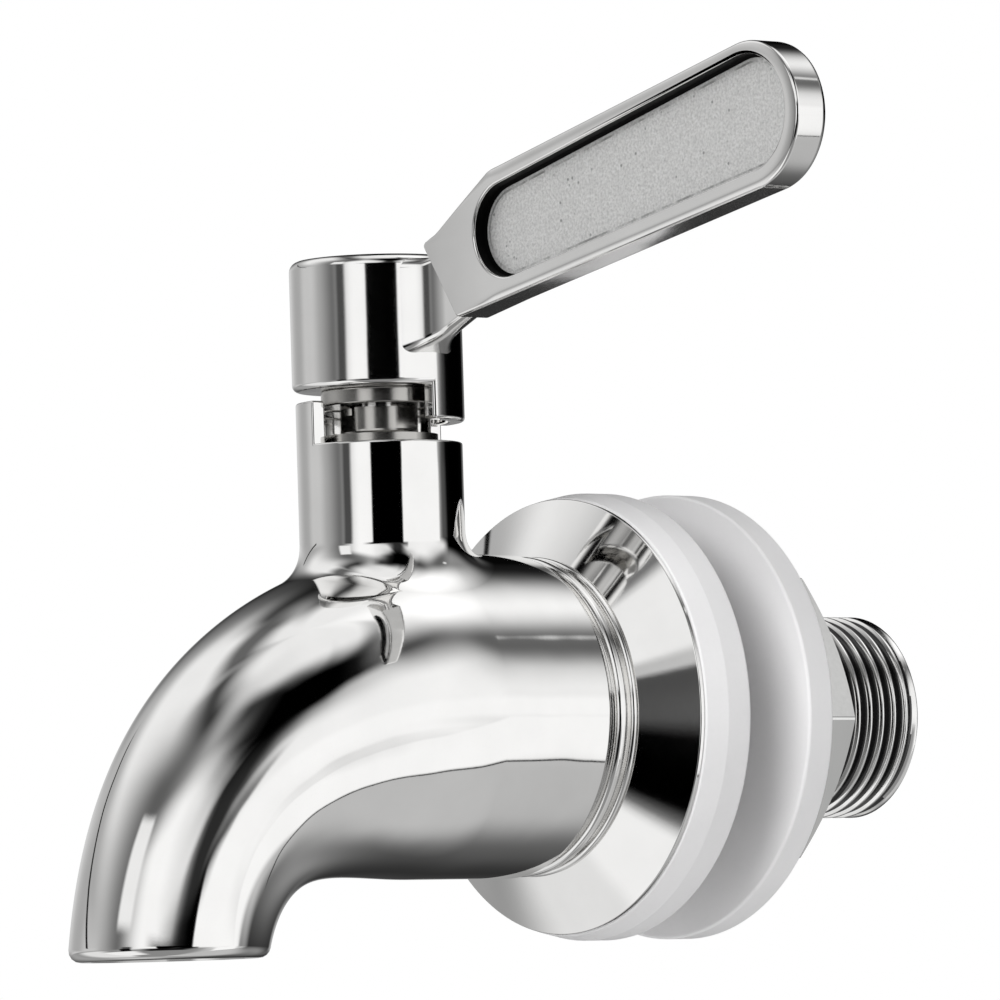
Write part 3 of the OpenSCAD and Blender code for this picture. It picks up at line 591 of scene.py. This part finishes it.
class Wire:
    """A value in a node tree. Arithmetic on it adds Math nodes and gives a new Wire."""

    def __init__(self, tree, socket):
        self.tree, self.socket = tree, socket

    def math(self, operation, *values, clamp=False):
        settings = {"operation": operation, "use_clamp": clamp}
        return add(self.tree, "ShaderNodeMath", settings, dict(enumerate(values)))

    def __add__(self, other):
        return self.math("ADD", self, other)

    def __sub__(self, other):
        return self.math("SUBTRACT", self, other)

    def __rsub__(self, other):
        return self.math("SUBTRACT", other, self)

    def __mul__(self, other):
        return self.math("MULTIPLY", self, other)

    __radd__, __rmul__ = __add__, __mul__

    def clamp(self):
        return self.math("ADD", self, 0.0, clamp=True)


def add(tree, kind, settings=None, inputs=None, output=0):
    """Adds a node: its settings first, then the values or links of its sockets. Gives one of its outputs."""
    node = tree.nodes.new(kind)
    for key, value in (settings or {}).items():
        setattr(node, key, value)
    for key, value in (inputs or {}).items():
        if isinstance(value, Wire):
            tree.links.new(value.socket, node.inputs[key])
        else:
            node.inputs[key].default_value = value
    return Wire(tree, node.outputs[output]) if len(node.outputs) else None


def mix(tree, factor, a, b):
    """Mixes two colours; a factor of 1 gives b."""
    return add(tree, "ShaderNodeMix", {"data_type": "RGBA"}, {0: factor, 6: a, 7: b}, 2)


def grey(level, tint=(1, 1, 1)):
    return (level*tint[0], level*tint[1], level*tint[2], 1)


def new_material(name):
    """A new material, its node tree and the place on the object."""
    material = bpy.data.materials.new(name)
    material.use_nodes = True
    tree = material.node_tree
    tree.nodes.clear()
    return material, tree, add(tree, "ShaderNodeTexCoord", output=3)


def surface(tree, sockets):
    """Ends a material with its shader, which has these values or links."""
    shader = add(tree, "ShaderNodeBsdfPrincipled", {}, sockets)
    add(tree, "ShaderNodeOutputMaterial", {}, {"Surface": shader})


def noise(tree, place, scale, detail, roughness=0.5):
    return add(tree, "ShaderNodeTexNoise", {}, {"Vector": place, "Scale": scale, "Detail": detail,
                                               "Roughness": roughness})


def steel(name, colour, roughness, wave, wave_scale, marks):
    """Bare steel: hand polishing leaves it slightly wavy, with faint fine marks and a bloom that varies."""
    material, tree, place = new_material(name)
    broad = noise(tree, place, wave_scale, 1.0)
    fine = noise(tree, place, 2600.0, 3.0, 0.6)
    stain = noise(tree, place, 240.0, 3.0)
    tone = mix(tree, (stain*1.6 - 0.3).clamp(), grey(0.93, colour), grey(1.0, colour))
    rough = roughness + marks*fine + 0.5*marks*stain
    waves = add(tree, "ShaderNodeBump", {}, {"Strength": 1.0, "Distance": wave*MM, "Height": broad})
    bump = add(tree, "ShaderNodeBump", {}, {"Strength": 1.0, "Distance": 0.00035*MM, "Height": fine,
                                            "Normal": waves})
    surface(tree, {"Base Color": tone, "Metallic": 1.0, "Roughness": rough, "Normal": bump})
    return material


def blasted(name, colour, roughness, stain):
    """Blasted floor of the panel: a fine even grain, soft mottling and a few dark specks. Its last value
    darkens it in patches where it is above 0."""
    material, tree, place = new_material(name)
    grain = noise(tree, place, 4600.0, 3.0, 0.6)
    mottle = noise(tree, place, 900.0, 3.0)
    specks = add(tree, "ShaderNodeTexVoronoi", {}, {"Vector": place, "Scale": 1500.0})
    rare = noise(tree, place, 1100.0, 1.0)
    dark = ((0.22 - specks)*9.0).clamp()*((rare - 0.52)*9.0).clamp()
    tone = mix(tree, (grain*3.0 - 1.0).clamp(), grey(0.74, colour), grey(1.12, colour))
    tone = mix(tree, (mottle*1.5 - 0.4).clamp()*0.5, tone, grey(0.84, colour))
    tone = mix(tree, dark*0.75, tone, grey(0.25, colour))
    # With a value above 0 the tone is darkened in patches
    if stain:
        patch = noise(tree, place, 480.0, 3.0, 0.7)
        tone = mix(tree, ((patch - 0.4)*4.0).clamp()*stain, tone, grey(0.3, colour))
    bump = add(tree, "ShaderNodeBump", {}, {"Strength": 0.55, "Distance": 0.04*MM, "Height": grain})
    rough = roughness + 0.12*mottle
    surface(tree, {"Base Color": tone, "Metallic": 0.86, "Roughness": rough, "Normal": bump})
    return material


def soft(name, colour, roughness, grain_scale, depth):
    """Moulded rubber or plastic: slightly uneven colour and a fine moulded grain."""
    material, tree, place = new_material(name)
    grain = noise(tree, place, grain_scale, 3.0)
    cloud = noise(tree, place, 180.0, 2.0)
    tone = mix(tree, (cloud*1.5 - 0.25).clamp(), grey(0.94, colour), grey(1.0, colour))
    tone = mix(tree, (grain*2.0 - 0.9).clamp()*0.3, tone, grey(0.9, colour))
    bump = add(tree, "ShaderNodeBump", {}, {"Strength": 0.5, "Distance": depth*MM, "Height": grain})
    surface(tree, {"Base Color": tone, "Roughness": roughness + 0.08*grain, "Normal": bump})
    return material


class Looks:
    """The materials of the pieces. Each is made from the finish settings when a piece first asks for it."""

    made = {}

    def __init__(self, finish):
        polished, panel, wave = finish.steel_colour, finish.panel_colour, finish.waviness
        # For each look the material's name, what makes it and that maker's values
        self.recipes = {
            "cast": ("polished_casting", steel, polished, finish.polish, wave, 170.0, 0.02),
            "lever": ("polished_lever", steel, polished, finish.polish + 0.03, 0.6*wave, 150.0, 0.03),
            "turned": ("polished_turned", steel, polished, finish.polish + 0.01, 0.15*wave, 120.0, 0.02),
            "dull": ("dull_turned", steel, (0.55, 0.54, 0.52), 0.16, 0.1*wave, 200.0, 0.08),
            "thread": ("cut_thread", steel, polished, 0.05, 0.02*wave, 300.0, 0.05),
            # Thread roots are near-black: painted shade in the thread's grooves
            "root": ("dark_thread_root", steel, (0.09, 0.09, 0.09), 0.16, 0.01, 300.0, 0.08),
            "nut": ("milled_nut", steel, finish.nut_colour, 0.06, 0.02*wave, 300.0, 0.03),
            # The recess wall is near-black: painted shade in the recess
            "recess": ("dark_recess_wall", steel, (0.006, 0.006, 0.006), 0.5, 0.01, 300.0, 0.1),
            "panel": ("blasted_panel", blasted, panel, 0.42, 0.0),
            # A band of the panel's floor near its wall, darker in patches
            "panel_edge": ("stained_panel_edge", blasted, panel, 0.42, 0.8),
            "silicone": ("pale_silicone", soft, finish.silicone_colour, 0.34, 3000.0, 0.006),
            "seal": ("black_seal", soft, (0.02, 0.02, 0.02), 0.5, 3000.0, 0.006),
            "seat": ("white_seat", soft, (0.85, 0.85, 0.82), 0.4, 2000.0, 0.004),
        }

    def __getattr__(self, look):
        name, maker, *values = self.recipes[look]
        if name not in self.made:
            self.made[name] = maker(name, *values)
        return self.made[name]


# Stage

# Studio round the object, which gives its light and is seen only by reflection. Each panel has its middle and
# half width in azimuth from +X towards +Y, its lowest and highest elevation, how much it leans (elevation for
# each degree of azimuth), and the softness of its upright and level edges, all in degrees; then its
# brightness as it is seen, where 1 is white. Later ones lie on earlier ones.
STUDIO = [
    ("left_shade", -90, 39, -17, 59, 0.2, 75, 34, 0.38),
    ("left_low", -160, 37, -9, 27, -0.3, 58, 19, 0.67),
    ("left_table", -80, 108, -90, -8, 0.0, 54, 3, 0.55),
    ("left_seam", -164, 31, 63, 76, 0.1, 24, 10, 0.40),
    ("left_arc", -100, 35, 57, 73, -0.2, 34, 21, 0.01),
    ("window_head", -31, 18, 35, 60, -0.1, 25, 11, 0.25),
    ("window", -63, 22, -6, 38, 0.3, 33, 17, 1.00),
    ("window_foot", -38, 21, 7, 11, -0.1, 18, 2, 0.03),
    ("camera_side", -27, 24, -22, 13, 0.2, 3, 13, 0.03),
    ("left_front", -143, 14, -7, 12, 0.0, 16, 10, 0.78),
    ("left_floor", -142, 22, -70, -12, 0.0, 24, 8, 0.90),
    ("front_gap_high", -87, 6, -8, 12, 0.0, 6, 2, 0.30),
    ("front_gap", -89, 7, -24, -3, 0.0, 4, 6, 0.00),
    ("front_floor", -101, 24, -64, -26, 0.0, 14, 4, 0.97),
    ("front_card", -93, 9, 16, 36, 0.0, 5, 3, 0.95),
    ("low_side", -40, 26, -30, -10, 0.0, 16, 6, 0.10),
    ("side_gap", -18, 13, 3, 38, 1.6, 20, 13, 0.19),
    ("side_card", -8, 23, 27, 60, 0.0, 24, 18, 0.00),
    ("arc_high", 4, 30, 49, 55, 0.7, 10, 11, 0.01),
    ("right_screen", 27, 26, 2, 52, 0.6, 27, 8, 0.98),
    ("arc_mid", 34, 25, 41, 61, 0.2, 24, 24, 0.23),
    ("arc_low", 50, 10, 28, 58, -0.8, 20, 20, 0.36),
    ("rear_high", 97, 62, 28, 52, 0.0, 29, 39, 0.39),
    ("rear_mid", 111, 64, 24, 38, 0.5, 16, 16, 0.33),
    ("rear_low", 90, 31, -33, 30, 0.1, 13, 26, 0.01),
    ("rear_edge", 138, 24, 4, 71, 0.3, 38, 13, 0.06),
    ("top_box", 64, 31, 48, 77, -0.2, 43, 21, 1.07),
    ("under_white", 27, 14, -35, -6, -0.3, 24, 11, 1.06),
    ("table", 74, 70, -91, -15, 0.0, 24, 34, 0.75),
    ("under_grey", 116, 64, -59, -44, -0.6, 34, 48, 0.22),
    ("under_dark", 137, 31, -53, -1, 0.1, 66, 19, 0.20),
    ("under_white_edge", 33, 14, -32, -6, 0.6, 8, 2, 1.00),
    ("table_edge", 44, 19, -27, -26, 0.6, 6, 1, 0.05),
    ("right_low", 19, 29, -2, 9, 0.0, 3, 5, 1.00),
    ("camera_stripe", -31, 21, -4, 10, 0.0, 3, 4, 0.00),
    ("nut_card", 58.5, 2.5, 37.4, 39.4, 0.0, 4, 2, 0.92),
    ("left_slit", -165, 20, 15, 17, -0.4, 4, 1, 0.03),
]


def studio_world(level):
    """World by direction: each panel of the studio is a leaning box in azimuth and elevation with soft edges,
    laid over the ones before it. The camera sees plain white."""
    world = bpy.data.worlds.new("studio")
    world.use_nodes = True
    tree = world.node_tree
    tree.nodes.clear()
    way = add(tree, "ShaderNodeTexCoord")
    x, y, z = (add(tree, "ShaderNodeSeparateXYZ", {}, {0: way}, i) for i in range(3))
    azimuth = x.math("ARCTAN2", y, x)*(180/math.pi)
    height = z.math("ARCSINE", z)*(180/math.pi)

    def rise(value, place, blur):
        return add(tree, "ShaderNodeMapRange", {"interpolation_type": "SMOOTHSTEP"},
                   {0: value, 1: place - blur/2, 2: place + blur/2})

    def shown(brightness):
        return grey(brightness**2.2*level)

    colour = shown(0.95)
    for _, middle, half, low, high, lean, side_blur, blur, bright in STUDIO:
        off = azimuth.math("WRAP", azimuth - middle, 180.0, -180.0)
        level_at = height - off*lean
        inside = rise(level_at, low, blur)*(1 - rise(level_at, high, blur))
        inside = inside*(1 - rise(off.math("ABSOLUTE", off), half, side_blur))
        colour = mix(tree, inside, colour, shown(bright))
    seen = add(tree, "ShaderNodeLightPath")
    colour = mix(tree, seen, colour, grey(1))
    back = add(tree, "ShaderNodeBackground", {}, {"Color": colour, "Strength": 1.0})
    add(tree, "ShaderNodeOutputWorld", {}, {"Surface": back})
    bpy.context.scene.world = world


def stage(light):
    """Camera at the photograph's angle, the studio, two soft lamps and the floor."""
    scene = bpy.context.scene
    scene.view_settings.view_transform = "Standard"
    camera = bpy.data.cameras.new("camera")
    camera.sensor_width, camera.lens = 36.0, 323.1
    camera.clip_start, camera.clip_end = 0.01, 20.0
    right, up = (0.63886, 0.76877, -0.03003), (0.06768, -0.01727, 0.99758)
    back, at = (0.7664, -0.6393, -0.0631), (0.53238, -0.45409, -0.02702)
    lamp_size, reach, low = 0.5, 1.6, light.floor_height
    holder = bpy.data.objects.new("camera", camera)
    holder.matrix_world = Matrix([*zip(right, up, back, at), (0, 0, 0, 1)])
    scene.collection.objects.link(holder)
    scene.camera = holder
    studio_world(light.studio_level)
    for name, place, power in (("overhead", (0.24, -0.66, 0.4), light.lamp_power),
                               ("rear_fill", (-0.2, 0.66, 0.3), light.lamp_power*light.rear_share)):
        lamp = bpy.data.lights.new(name, "AREA")
        lamp.energy, lamp.size = power, lamp_size
        hung = bpy.data.objects.new(name, lamp)
        hung.location = place
        hung.rotation_euler = Vector(place).to_track_quat("Z", "Y").to_euler()
        hung.visible_glossy = False
        scene.collection.objects.link(hung)
    material, tree, place = new_material("floor_pale")
    tone = mix(tree, noise(tree, place, 9.0, 3.0), grey(0.80), grey(0.84))
    surface(tree, {"Base Color": tone, "Roughness": 0.7})
    mesh = bpy.data.meshes.new("floor")
    mesh.from_pydata([(-reach, -reach, low), (reach, -reach, low), (reach, reach, low), (-reach, reach, low)],
                     [], [(0, 1, 2, 3)])
    mesh.materials.append(material)
    floor = bpy.data.objects.new("floor", mesh)
    floor.visible_glossy = False
    scene.collection.objects.link(floor)


# Add-on

def number(name, default, low, high, description, **more):
    return bpy.props.FloatProperty(name=name, default=default, min=low, max=high, description=description,
                                   **more)


def shade(name, default, description):
    return bpy.props.FloatVectorProperty(name=name, description=description, subtype="COLOR", size=3,
                                         default=default, min=0, max=1)


class SpigotSizes(bpy.types.PropertyGroup):
    """Small sizes of the dressed pieces, in millimetres."""

    edge_round: number("Edge round", 0.18, 0.05, 0.3, "Radius of the small edge rounds, in mm")
    crown_width: number("Crown width", 0.75, 0.3, 0.9,
                        "Width of the paddle's front that falls away to its edge, in mm")
    crown_lean: number("Crown lean", 16, 2, 40, "Lean of the paddle's front at its edge, in degrees")
    lip_round: number("Lip round", 0.9, 0.1, 1.4, "Radius of the outlet's rounded lip, in mm")
    thread_pitch: number("Thread pitch", 1.25, 0.8, 2.0, "Pitch of the shank's thread, in mm")
    thread_depth: number("Thread depth", 0.75, 0.3, 1.0, "Depth of the shank's thread, in mm")


class SpigotFinish(bpy.types.PropertyGroup):
    """Colours and surface finishes."""

    steel_colour: shade("Steel", (0.95, 0.945, 0.935), "Colour of the polished steel and the thread")
    nut_colour: shade("Nut", (0.84, 0.84, 0.83), "Colour of the milled lock nut")
    panel_colour: shade("Panel", (0.95, 0.95, 0.94), "Colour of the blasted panel")
    silicone_colour: shade("Silicone", (0.78, 0.775, 0.78), "Colour of the two soft washers")
    polish: number("Polish", 0.025, 0, 0.4, "Roughness of the polished steel", subtype="FACTOR")
    waviness: number("Waviness", 0.05, 0, 0.3, "Height of the polishing waves, in mm")


class SpigotLight(bpy.types.PropertyGroup):
    """Light and floor of the stage."""

    studio_level: number("Studio level", 1.0, 0, 3, "Brightness of the studio's panels")
    lamp_power: number("Lamp", 5.6, 0, 100, "Power of the overhead lamp", subtype="POWER", unit="POWER")
    rear_share: number("Rear lamp", 0.6, 0, 2, "Power of the lamp behind, as a share of the overhead lamp's",
                       subtype="FACTOR")
    floor_height: number("Floor height", -0.06, -0.5, -0.02, "Height of the floor", subtype="DISTANCE",
                         unit="LENGTH")


class PieceOperator:
    """What the operators of the pieces share."""

    bl_options = {"REGISTER", "UNDO"}

    def execute(self, context):
        scene = context.scene
        self.make(scene.spigot_sizes, Looks(scene.spigot_finish), scene.spigot_light)
        return {"FINISHED"}


class SPIGOT_OT_stage(PieceOperator, bpy.types.Operator):
    """Sets up the camera, the studio, the lamps and the floor"""

    bl_idname, bl_label = "spigot.stage", "Stage"

    def make(self, sizes, looks, light):
        stage(light)


class SPIGOT_OT_casting(PieceOperator, bpy.types.Operator):
    """Makes the polished casting with its spout and tower"""

    bl_idname, bl_label = "spigot.casting", "Casting"

    def make(self, sizes, looks, light):
        casting(sizes, looks)


class SPIGOT_OT_lever(PieceOperator, bpy.types.Operator):
    """Makes the lever with its hub, stop lug, web and paddle"""

    bl_idname, bl_label = "spigot.lever", "Lever"

    def make(self, sizes, looks, light):
        lever(sizes, looks)


class SPIGOT_OT_shank(PieceOperator, bpy.types.Operator):
    """Makes the threaded shank with its beaded head"""

    bl_idname, bl_label = "spigot.shank", "Shank"

    def make(self, sizes, looks, light):
        shank(sizes, looks)


class SPIGOT_OT_lock_nut(PieceOperator, bpy.types.Operator):
    """Makes the hexagon lock nut"""

    bl_idname, bl_label = "spigot.lock_nut", "Lock nut"

    def make(self, sizes, looks, light):
        lock_nut(looks)


class SPIGOT_OT_turned(PieceOperator, bpy.types.Operator):
    """Makes the disc, the two soft washers and the lever's spacer"""

    bl_idname, bl_label = "spigot.turned", "Disc, washers and spacer"

    def make(self, sizes, looks, light):
        turned("disc", "tap", looks.turned,
               [(WASHER_BORE, DISC_FRONT), (12.35, DISC_FRONT), (DISC_R, -4.7), (DISC_R, DISC_BACK),
                (WASHER_BORE, DISC_BACK)], [0, 0.1, 0.14, 0.14, 0], ["escutcheon"])
        turned("front_washer_moulded", "tap", looks.silicone,
               [(WASHER_BORE, DISC_BACK), (17.0, DISC_BACK), (WASHER_R, -2.35), (WASHER_R, 0),
                (WASHER_BORE, 0)], [0, 0.2, 0.5, 0.3, 0], ["front_washer"])
        turned("rear_washer_moulded", "tap", looks.silicone,
               [(WASHER_BORE, REAR_WASHER), (WASHER_R, REAR_WASHER), (WASHER_R, NUT_FRONT),
                (WASHER_BORE, NUT_FRONT)], [0, 0.25, 0.25, 0], ["rear_washer"])
        turned("spacer", "lever", looks.dull,
               [(2.25, 23.8), (4.4, 23.8), (4.4, HUB_Z), (2.25, HUB_Z)], [0, 0.15, 0.15, 0], ["lever_spacer"],
               upright=True)


class SPIGOT_OT_inner(PieceOperator, bpy.types.Operator):
    """Gives the valve's inner pieces, the gland nut and the lever's screw their materials"""

    bl_idname, bl_label = "spigot.inner", "Inner pieces"

    def make(self, sizes, looks, light):
        finishes = {looks.dull: ["gland_nut"], looks.turned: ["ball"],
                    looks.thread: ["stem", "spring_washer", "lever_screw"],
                    looks.seal: ["shank_o_ring", "stem_o_ring"],
                    looks.seat: ["rear_seat", "front_seat", "thrust_washer", "lower_packing",
                                 "upper_packing"]}
        for material, names in finishes.items():
            for name in names:
                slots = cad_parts[name].material_slots
                if not slots:
                    raise RuntimeError(f"{name} has no material slot")
                for slot in slots:
                    slot.material = material


PIECES = (SPIGOT_OT_stage, SPIGOT_OT_casting, SPIGOT_OT_lever, SPIGOT_OT_shank, SPIGOT_OT_lock_nut,
          SPIGOT_OT_turned, SPIGOT_OT_inner)


class SPIGOT_PT_parts(bpy.types.Panel):
    """Lists the settings and the pieces in the sidebar"""

    bl_idname, bl_label = "SPIGOT_PT_parts", "Spigot"
    bl_space_type, bl_region_type, bl_category = "VIEW_3D", "UI", "Spigot"

    def draw(self, context):
        for group in (context.scene.spigot_sizes, context.scene.spigot_finish, context.scene.spigot_light):
            box = self.layout.box()
            for name in group.__annotations__:
                box.prop(group, name)
        for piece in PIECES:
            self.layout.operator(piece.bl_idname)


CLASSES = (SpigotSizes, SpigotFinish, SpigotLight) + PIECES + (SPIGOT_PT_parts,)


def register():
    for cls in CLASSES:
        bpy.utils.register_class(cls)
    bpy.types.Scene.spigot_sizes = bpy.props.PointerProperty(type=SpigotSizes)
    bpy.types.Scene.spigot_finish = bpy.props.PointerProperty(type=SpigotFinish)
    bpy.types.Scene.spigot_light = bpy.props.PointerProperty(type=SpigotLight)


def unregister():
    del bpy.types.Scene.spigot_light, bpy.types.Scene.spigot_finish, bpy.types.Scene.spigot_sizes
    for cls in reversed(CLASSES):
        bpy.utils.unregister_class(cls)


def main():
    """Registers the add-on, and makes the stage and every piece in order."""
    register()
    bpy.ops.spigot.stage()
    bpy.ops.spigot.casting()
    bpy.ops.spigot.lever()
    bpy.ops.spigot.shank()
    bpy.ops.spigot.lock_nut()
    bpy.ops.spigot.turned()
    bpy.ops.spigot.inner()


if __name__ == "__main__":
    main()
